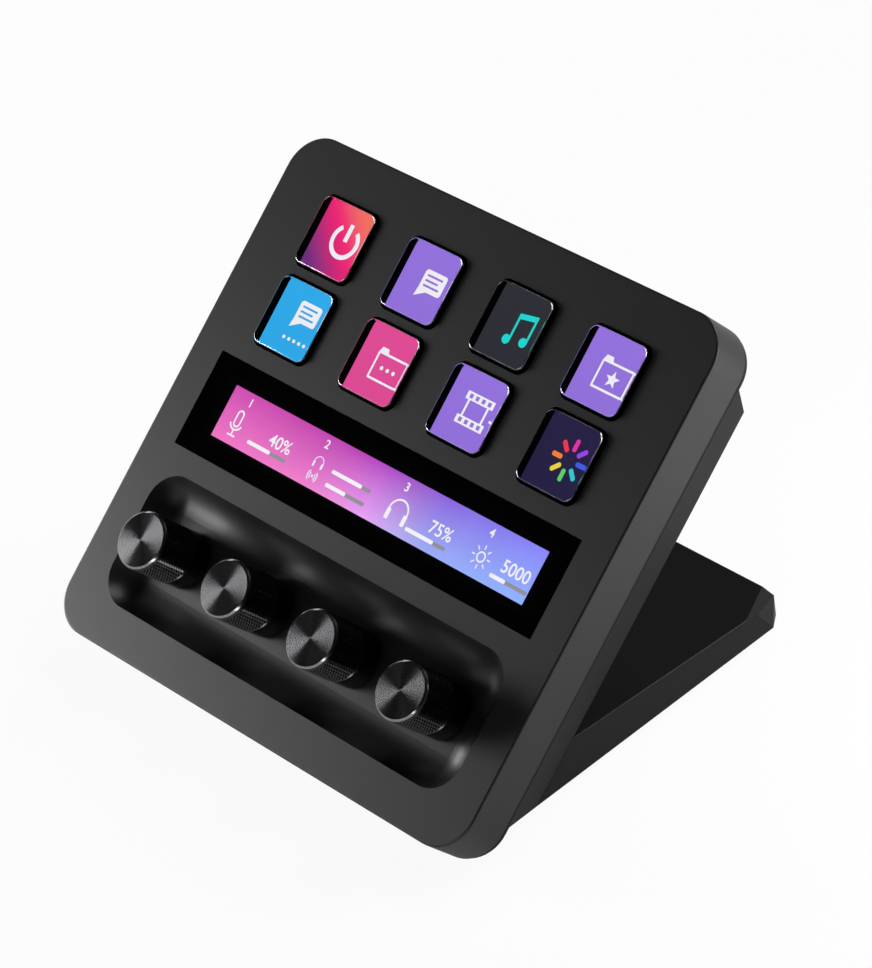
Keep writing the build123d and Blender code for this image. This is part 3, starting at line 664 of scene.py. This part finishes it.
def folder_icon():
    """A folder's outline with a solid tab."""
    outline = frame_outline(9.7, 6.9, 0.4, 0.55, 0.2, -0.7)
    tab = plate([(-4.5, 2.7), (-1.6, 2.7), (-2.1, 3.8), (-4.1, 3.8)])
    return merged(outline, tab)


def dot_row(count, radius, pitch, y):
    """Round dots side by side about the middle."""
    left = -(count - 1) / 2 * pitch
    dot = plate(circle(radius, 20))
    return merged(*[moved(dot, left + i * pitch, y) for i in range(count)])


def star_icon(size, x, y):
    """A five-pointed star about a point."""
    tips = 5
    notch_share = 0.42
    points = []
    for i in range(2 * tips):
        radius = size if i % 2 == 0 else size * notch_share
        angle = math.radians(90 + 180 * i / tips)
        points.append((radius * math.cos(angle) + x, radius * math.sin(angle) + y))
    return plate(points)


def film_icon():
    """Two perforated bands joined by two posts, with a plus beside them."""
    band_width = 8.6
    band_y = 2.9
    edge = 0.45
    edge_offset = 0.75
    post_x = 3.0
    plus_x, plus_y = 6.0, -0.6
    stroke = 0.6
    pieces = []
    for y in (band_y, -band_y):
        pieces += [bar(band_width, edge, 0.0, y + side * edge_offset) for side in (1, -1)]
        pieces += [bar(0.9, 1.2, x, y) for x in (-3.85, -1.93, 0.0, 1.93, 3.85)]
    pieces += [bar(stroke, 4.4, side * post_x) for side in (-1, 1)]
    pieces += [bar(2.4, stroke, plus_x, plus_y), bar(stroke, 2.4, plus_x, plus_y)]
    return merged(*pieces)


def note_icon():
    """Two notes joined by a slanted beam."""
    heads = [moved(plate(circle(1.15, 24)), x, y) for x, y in ((-2.6, -3.1), (2.2, -2.3))]
    stems = [bar(0.6, 6.2, -1.75, 0.0), bar(0.6, 6.2, 3.05, 0.8)]
    beam = plate([(-2.05, 2.2), (3.35, 3.1), (3.35, 4.4), (-2.05, 3.5)])
    return merged(*heads, *stems, beam)


def flat_stops(colour):
    """Nearly one colour, a little brighter towards one side."""
    brighter = tuple(min(255, channel * 1.02) for channel in colour)
    return [(0.0, linear(colour)), (1.0, linear(brighter))]


def add_icon(name, shape, colour, x, y, layer=1, level=PICTURE_LEVEL):
    """A flat lit shape so many layers in front of a picture."""
    material = lit_picture(f"lit_{name}", flat_stops(colour))
    place = (x, y, level + ICON_LIFT * layer)
    add_piece(name, *shape, [material], place, "housing")


def add_key_grounds():
    """The coloured ground of each key's picture."""
    sunset = [
        (0.0, linear((112, 48, 128))),
        (0.17, linear((160, 50, 126))),
        (0.27, linear((192, 44, 122))),
        (0.48, linear((238, 38, 118))),
        (0.58, linear((243, 54, 116))),
        (0.69, linear((244, 84, 112))),
        (0.8, linear((246, 106, 102))),
        (0.95, linear((243, 118, 98))),
    ]
    grounds = [
        (sunset, 45.0),
        (flat_stops(PURPLE), 90.0),
        (flat_stops(CHARCOAL), 90.0),
        (flat_stops(PURPLE), 90.0),
        (flat_stops(SKY_BLUE), 90.0),
        (flat_stops(ROSE), 90.0),
        (flat_stops(PURPLE), 90.0),
        (flat_stops(INDIGO), 90.0),
    ]
    outline = rounded_outline(PICTURE_WIDTH, PICTURE_SIZE, PICTURE_CORNER)
    for number, ((stops, turn), (x, y)) in enumerate(zip(grounds, key_places()), start=1):
        name = f"ground_{number}"
        ground = lit_picture(name, stops, turn)
        add_piece(name, *plate(outline), [ground], (x, y, PICTURE_LEVEL), "housing")


def add_key_icons():
    """The marks on the keys' pictures."""
    icons = [
        (1, "power", power_icon(), WHITE),
        (2, "bubble", bubble_icon(), WHITE),
        (3, "note", note_icon(), CYAN),
        (4, "folder", merged(folder_icon(), star_icon(2.1, 0.2, -0.9)), WHITE),
        (5, "bubble_live", moved(bubble_icon(), 0.0, LIVE_BUBBLE_RISE), WHITE),
        (5, "live_dots", dot_row(5, 0.45, 1.7, -4.6), WHITE),
        (6, "folder_open", folder_icon(), WHITE),
        (6, "folder_dots", moved(dot_row(3, 0.5, 1.9, -0.8), 0.2, 0.0), WHITE),
        (7, "film", moved(film_icon(), -0.7, 0.0), WHITE),
    ]
    places = key_places()
    for number, name, shape, colour in icons:
        x, y = places[number - 1]
        add_icon(f"icon_{name}", shape, colour, x + ICON_SHIFT, y)
    x, y = places[1]
    add_icon("icon_bubble_lines", bubble_lines(), PURPLE, x + ICON_SHIFT, y, layer=2)
    x, y = places[4]
    lines_y = y + LIVE_BUBBLE_RISE
    add_icon("icon_live_lines", bubble_lines(), SKY_BLUE, x + ICON_SHIFT, lines_y, layer=2)
    x, y = places[7]
    add_colour_ring(x + ICON_SHIFT, y)


def add_colour_ring(x, y):
    """Eight rounded spokes round a centre, each in its own colour."""
    colours = [
        (64, 92, 226),
        (150, 70, 226),
        (224, 52, 170),
        (236, 58, 84),
        (242, 130, 52),
        (236, 212, 60),
        (96, 206, 110),
        (52, 200, 206),
    ]
    spoke = rounded_outline(3.0, 1.15, 0.5)
    for index, colour in enumerate(colours):
        angle = 2 * math.pi * index / len(colours)
        add_icon(f"spoke_{index + 1}", plate(turned(spoke, 3.6, angle)), colour, x, y)


# ---- touch strip ---------------------------------------------------------------------
def microphone_icon():
    """A capsule in a cradle, on a stem with a foot."""
    stroke = 0.45
    capsule = frame_outline(2.3, 4.4, 1.1, stroke, 0.0, 1.0)
    cradle = moved(arc_band(2.0, stroke, 200, 340), 0.0, 0.2)
    stem = bar(stroke, 1.6, 0.0, -2.5)
    foot = bar(2.6, stroke, 0.0, -3.3)
    return merged(capsule, cradle, stem, foot)


def headphone_icon(size):
    """A hoop with a cup at either end."""
    hoop = arc_band(size, size * 0.16, -10, 190)
    cup_x = size * 0.92
    cup_y = -size * 0.45
    cups = [
        bar(size * 0.42, size * 0.95, side * cup_x, cup_y, size * 0.12) for side in (-1, 1)
    ]
    return merged(hoop, *cups)


def broadcast_icon():
    """A dot between two pairs of waves."""
    dot = plate(circle(0.35, 16))
    stroke = 0.28
    waves = []
    for radius in (0.9, 1.5):
        waves += [arc_band(radius, stroke, -50, 50), arc_band(radius, stroke, 130, 230)]
    return merged(dot, *waves)


def sun_icon():
    """A ring with eight rays."""
    ray_count = 8
    core = band(circle(1.35, 32), circle(0.95, 32))
    ray = rounded_outline(1.1, 0.32, 0.15)
    rays = [plate(turned(ray, 2.4, 2 * math.pi * i / ray_count)) for i in range(ray_count)]
    return merged(core, *rays)


def number_shape(text, size):
    """A plain number as a flat mesh, from Blender's own font."""
    curve = bpy.data.curves.new(f"number_{text}", "FONT")
    curve.body = text
    curve.size = size
    curve.offset = NUMBER_WEIGHT
    holder = bpy.data.objects.new(f"number_{text}", curve)
    bpy.context.scene.collection.objects.link(holder)
    solved = holder.evaluated_get(bpy.context.evaluated_depsgraph_get())
    mesh = bpy.data.meshes.new_from_object(solved)
    vertices = [tuple(vertex.co) for vertex in mesh.vertices]
    faces = [tuple(polygon.vertices) for polygon in mesh.polygons]
    bpy.data.objects.remove(holder)
    bpy.data.meshes.remove(mesh)
    return vertices, faces


def strip_outline(width, height):
    """A rectangle's outline with its corners barely broken."""
    return rounded_outline(width, height, STRIP_CORNER, steps=1)


def add_strip():
    """The black print round the strip's window, and the lit sky behind it."""
    window_width = STRIP_LIT_WIDTH + 2 * STRIP_LIT_MARGIN
    window_height = STRIP_LIT_HEIGHT + 2 * STRIP_LIT_MARGIN
    mask = band(
        strip_outline(STRIP_WIDTH, STRIP_HEIGHT), strip_outline(window_width, window_height)
    )
    place = (0.0, STRIP_Y, STRIP_MASK_LEVEL)
    add_piece("strip_print", *mask, [black_paint()], place, "housing")
    low_sky = [
        (0.03, linear((240, 120, 198))),
        (0.3, linear((240, 130, 206))),
        (0.41, linear((237, 148, 225))),
        (0.5, linear((233, 164, 246))),
        (0.6, linear((189, 175, 240))),
        (0.69, linear((157, 173, 247))),
        (0.97, linear((146, 180, 255))),
    ]
    high_sky = [
        (0.03, linear((208, 80, 180))),
        (0.22, linear((199, 74, 174))),
        (0.41, linear((188, 69, 184))),
        (0.5, linear((180, 76, 200))),
        (0.6, linear((160, 90, 204))),
        (0.69, linear((141, 102, 223))),
        (0.83, linear((136, 122, 235))),
        (0.97, linear((140, 135, 249))),
    ]
    lit = lit_sky(low_sky, high_sky)
    outline = strip_outline(STRIP_LIT_WIDTH, STRIP_LIT_HEIGHT)
    place = (0.0, STRIP_Y, STRIP_PICTURE_LEVEL)
    add_piece("strip_sky", *plate(outline), [lit], place, "housing")


def level_bar(length):
    """A round-ended bar that starts at the middle and runs to the right."""
    return bar(length, MARK_BAR_HEIGHT, length / 2, 0.0, MARK_BAR_ROUND)


def add_strip_marks():
    """Each segment's plain number, icon, level bar and value."""
    level = STRIP_PICTURE_LEVEL
    # each icon's name, its shape, and its place across and up the strip
    icons = [
        ("mic", microphone_icon(), -47.4, -1.2),
        ("phones_small", headphone_icon(1.45), -19.1, -0.3),
        ("broadcast", broadcast_icon(), -19.1, -3.8),
        ("phones_large", headphone_icon(2.9), 8.8, -1.6),
        ("sun", sun_icon(), 36.2, -1.6),
    ]
    for name, shape, x, y in icons:
        add_icon(f"strip_{name}", shape, WHITE, x, STRIP_Y + y, level=level)
    # each bar's left and right end, its height on the strip and the share that is filled
    bars = [
        (-41.8, -28.5, -3.9, 0.6),
        (-14.3, -1.2, -0.6, 0.78),
        (-14.3, -1.2, -4.0, 0.52),
        (12.9, 26.0, -4.1, 0.7),
        (40.6, 52.4, -4.1, 0.42),
    ]
    for number, (left, right, y, share) in enumerate(bars, start=1):
        length = right - left
        track = level_bar(length)
        add_icon(f"track_{number}", track, TRACK_GREY, left, STRIP_Y + y, level=level)
        filled = level_bar(length * share)
        add_icon(f"level_{number}", filled, WHITE, left, STRIP_Y + y, layer=2, level=level)
    # each value and its left end
    values = [("40%", -35.9), ("75%", 18.9), ("5000", 42.6)]
    for number, (text, left) in enumerate(values, start=1):
        shape = number_shape(text, VALUE_SIZE)
        add_icon(f"value_{number}", shape, WHITE, left, STRIP_Y + VALUE_Y, level=level)
    for number, x in enumerate((-47.0, -20.0, 7.2, 35.2), start=1):
        shape = number_shape(str(number), SEGMENT_SIZE)
        add_icon(f"segment_{number}", shape, WHITE, x, STRIP_Y + SEGMENT_Y, level=level)


# ---- dials ---------------------------------------------------------------------------
def revolved(profile):
    """A closed solid from a closed (radius, z) profile turned round z."""
    count = 96
    vertices = []
    for radius, level in profile:
        for i in range(count):
            angle = 2 * math.pi * i / count
            vertices.append((radius * math.cos(angle), radius * math.sin(angle), level))
    faces = []
    rows = len(profile)
    for row in range(rows):
        below = row * count
        above = (row + 1) % rows * count
        for i in range(count):
            j = (i + 1) % count
            faces.append((below + i, below + j, above + j, above + i))
    return vertices, faces


def grip_mesh():
    """The knurled grip: rows of small square pyramids, in line along and round it."""
    count = 2 * KNURL_TEETH
    half_pitch = math.pi * DIAL_RADIUS / KNURL_TEETH
    start = COLLAR_TOP + KNURL_START_GAP
    end = DIAL_TOP - DIAL_EDGE - KNURL_END_GAP
    rows = 2 * round((end - start) / half_pitch / 2)
    plain_below = [
        (DIAL_BORE, DIAL_BOTTOM),
        (COLLAR_RADIUS, DIAL_BOTTOM),
        (COLLAR_RADIUS, COLLAR_TOP),
    ]
    plain_above = [
        (DIAL_RADIUS, end + KNURL_RUNOUT),
        (DIAL_RADIUS, DIAL_TOP - DIAL_EDGE),
        (DIAL_RADIUS - DIAL_EDGE, DIAL_TOP),
        (DIAL_BORE, DIAL_TOP),
    ]
    knurled = [(None, start + (end - start) * k / rows) for k in range(rows + 1)]
    profile = plain_below + knurled + plain_above
    first_knurl = len(plain_below)
    vertices = []
    for row, (radius, level) in enumerate(profile):
        for i in range(count):
            angle = 2 * math.pi * i / count
            peak = i % 2 == 1 and (row - first_knurl) % 2 == 1
            knurl_radius = DIAL_RADIUS if peak else DIAL_RADIUS - KNURL_DEPTH
            r = knurl_radius if radius is None else radius
            vertices.append((r * math.cos(angle), r * math.sin(angle), level))
    faces = []
    for row in range(len(profile)):
        below = row * count
        above = (row + 1) % len(profile) * count
        step = row - first_knurl
        for i in range(count):
            j = (i + 1) % count
            a, b, c, d = below + i, below + j, above + j, above + i
            if not 0 <= step < rows:
                faces.append((a, b, c, d))
            elif (step + i) % 2 == 0:
                faces += [(a, b, c), (a, c, d)]
            else:
                faces += [(a, b, d), (b, c, d)]
    return vertices, faces


def face_mesh():
    """The spun disc with a polished slanted edge: (vertices, faces, material choice per face)."""
    spun, polished = range(2)
    radius = FACE_RADIUS
    level = FACE_TOP - FACE_CHAMFER
    profile = [
        (FACE_CENTRE_HOLE, FACE_TOP - FACE_DIMPLE),
        (FACE_CENTRE_HOLE, DIAL_TOP),
        (radius, DIAL_TOP),
        (radius, level),
    ]
    rings_below = len(profile) - 1
    leans = [math.radians(lean) for lean in FACE_CHAMFER_LEANS]
    slant = FACE_CHAMFER / sum(math.sin(lean) for lean in leans)
    for lean in leans:
        radius -= slant * math.cos(lean)
        level += slant * math.sin(lean)
        profile.append((radius, level))
    profile.append((FACE_DIMPLE, FACE_TOP))
    vertices, faces = revolved(profile)
    per_ring = len(faces) // len(profile)
    choice = [spun] * (rings_below * per_ring) + [polished] * (len(leans) * per_ring)
    choice += [spun] * (len(faces) - len(choice))
    return vertices, faces, choice


def add_dials():
    """Each dial's knurled grip and turned face."""
    grip = grip_mesh()
    disc_vertices, disc_faces, disc_choice = face_mesh()
    grip_metal = anodised_grip()
    disc_metals = [spun_metal(), plain_metal("polished_edge", EDGE_SILVER, roughest=0.22)]
    for index in range(DIAL_COUNT):
        number = index + 1
        place = (column_x(index, DIAL_COUNT), DIAL_Y, 0.0)
        body = f"dial_{number}"
        knob = add_piece(f"grip_{number}", *grip, [grip_metal], place, body, sharp_angle=18.0)
        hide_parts(f"dial_{number}_knob")
        disc = add_piece(
            f"face_{number}", disc_vertices, disc_faces, disc_metals, place, body, disc_choice
        )
        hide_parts(f"dial_{number}_face")


# ---- CAD pieces ----------------------------------------------------------------------
def dress_cad():
    """Gives every CAD node that stays on show its material."""
    shell = moulded_plastic("shell", SHELL_GREY, (0.4, 0.46))
    rear = moulded_plastic("rear", REAR_GREY, (0.55, 0.65), specular=0.1)
    stand = moulded_plastic("stand", STAND_BLACK, (0.4, 0.5), specular=0.17)
    inner = moulded_plastic("inner", INNER_GREY, (0.5, 0.7))
    board = moulded_plastic("board", BOARD_GREEN, (0.35, 0.5))
    cable = moulded_plastic("cable", CABLE_TAN, (0.4, 0.6), grain=0.1)
    steel = plain_metal("steel", STEEL)
    screw = plain_metal("screw", SCREW_GREY)
    rubber = pad_rubber()
    black = black_paint()
    choices = {
        "front_bezel": shell,
        "rear_housing": rear,
        "stand_shell": stand,
        "stand_base_plate": stand,
        "stand_pads": rubber,
        "strip_glass": cover_glass(),
        "strip_gasket": black,
        "strip_display": black,
        "key_display": black,
        "data_socket": steel,
        "stand_ballast": steel,
        "encoder_board": board,
        "main_board": board,
        "strip_ribbon": cable,
        "key_ribbon": cable,
        "encoder_ribbon": cable,
    }
    for name, node in frame["nodes"].items():
        if name.endswith("_screws"):
            material = screw
        elif name.endswith("_shaft"):
            material = steel
        else:
            material = choices.get(name, inner)
        node.data.materials.clear()
        node.data.materials.append(material)


# ---- studio --------------------------------------------------------------------------
def add_floor():
    mesh = bpy.data.meshes.new("floor")
    signs = [(-1, -1), (1, -1), (1, 1), (-1, 1)]
    corners = [(sx * FLOOR_REACH, sy * FLOOR_REACH, 0.0) for sx, sy in signs]
    mesh.from_pydata(corners, [], [(0, 1, 2, 3)])
    mesh.materials.append(floor_finish())
    floor = bpy.data.objects.new("floor", mesh)
    bpy.context.scene.collection.objects.link(floor)


def add_lamp(name, place, aim, width, height, power):
    """A soft rectangular lamp, in metres and watts, that the camera doesn't see."""
    data = bpy.data.lights.new(name, "AREA")
    data.shape = "RECTANGLE"
    data.size = width
    data.size_y = height
    data.energy = power
    lamp = bpy.data.objects.new(name, data)
    bpy.context.scene.collection.objects.link(lamp)
    lamp.location = place
    lamp.visible_camera = False
    lamp.rotation_mode = "QUATERNION"
    lamp.rotation_quaternion = (Vector(aim) - Vector(place)).to_track_quat("-Z", "Y")


def around(azimuth, elevation, distance):
    """A place round the object's middle, by angles from the +x axis and the horizon."""
    flat = distance * math.cos(math.radians(elevation))
    return (
        flat * math.cos(math.radians(azimuth)),
        flat * math.sin(math.radians(azimuth)),
        MIDDLE[2] + distance * math.sin(math.radians(elevation)),
    )


def add_world():
    """A studio that is white round the horizon and dim overhead."""
    world = bpy.data.worlds.new("studio")
    bpy.context.scene.world = world
    world.use_nodes = True
    nodes = world.node_tree.nodes
    links = world.node_tree.links
    place = nodes.new("ShaderNodeTexCoord")
    split = nodes.new("ShaderNodeSeparateXYZ")
    ramp = nodes.new("ShaderNodeValToRGB")
    horizon, ceiling = ramp.color_ramp.elements
    horizon.position = HORIZON_HEIGHT
    horizon.color = (1.0, 1.0, 1.0, 1.0)
    ceiling.position = CEILING_HEIGHT
    ceiling.color = (CEILING_LIGHT, CEILING_LIGHT, CEILING_LIGHT, 1.0)
    links.new(place.outputs["Generated"], split.inputs["Vector"])
    links.new(split.outputs["Z"], ramp.inputs["Fac"])
    links.new(ramp.outputs["Color"], nodes["Background"].inputs["Color"])


def add_light():
    """The lamps: each one's place by azimuth, elevation and distance, its size and power."""
    add_lamp("overhead", around(80.0, 43.0, 1.25), MIDDLE, width=0.6, height=0.6, power=9.5)
    add_lamp("left_low", around(-149.0, 6.0, 0.58), MIDDLE, width=0.27, height=0.2, power=2.9)
    add_lamp("left_small", around(-179.0, 29.0, 0.6), MIDDLE, width=0.14, height=0.12, power=0.13)
    add_lamp("left_back", around(154.0, 18.0, 0.6), MIDDLE, width=0.36, height=0.08, power=0.22)
    add_lamp("front_right", around(-76.0, 10.0, 0.6), MIDDLE, width=0.42, height=0.08, power=0.55)
    add_lamp("right_back", RIGHT_BACK_LAMP, RIGHT_BACK_SPOT, width=0.08, height=0.08, power=0.32)


def add_camera():
    data = bpy.data.cameras.new("camera")
    data.lens = CAMERA_LENS
    data.sensor_width = SENSOR_WIDTH
    data.clip_start = CAMERA_NEAR
    data.clip_end = CAMERA_FAR
    camera = bpy.data.objects.new("camera", data)
    bpy.context.scene.collection.objects.link(camera)
    place = Vector(CAMERA_PLACE) * MM
    direction = Vector(CAMERA_AIM) * MM - place
    camera.location = place
    camera.rotation_mode = "QUATERNION"
    look = direction.to_track_quat("-Z", "Y")
    roll = Matrix.Rotation(math.radians(-CAMERA_ROLL), 3, "Z").to_quaternion()
    camera.rotation_quaternion = look @ roll
    bpy.context.scene.camera = camera


dress_cad()
add_key_caps()
add_key_grounds()
add_key_icons()
add_strip()
add_strip_marks()
add_dials()
add_floor()
add_world()
add_light()
add_camera()
bpy.context.scene.view_settings.view_transform = "Standard"
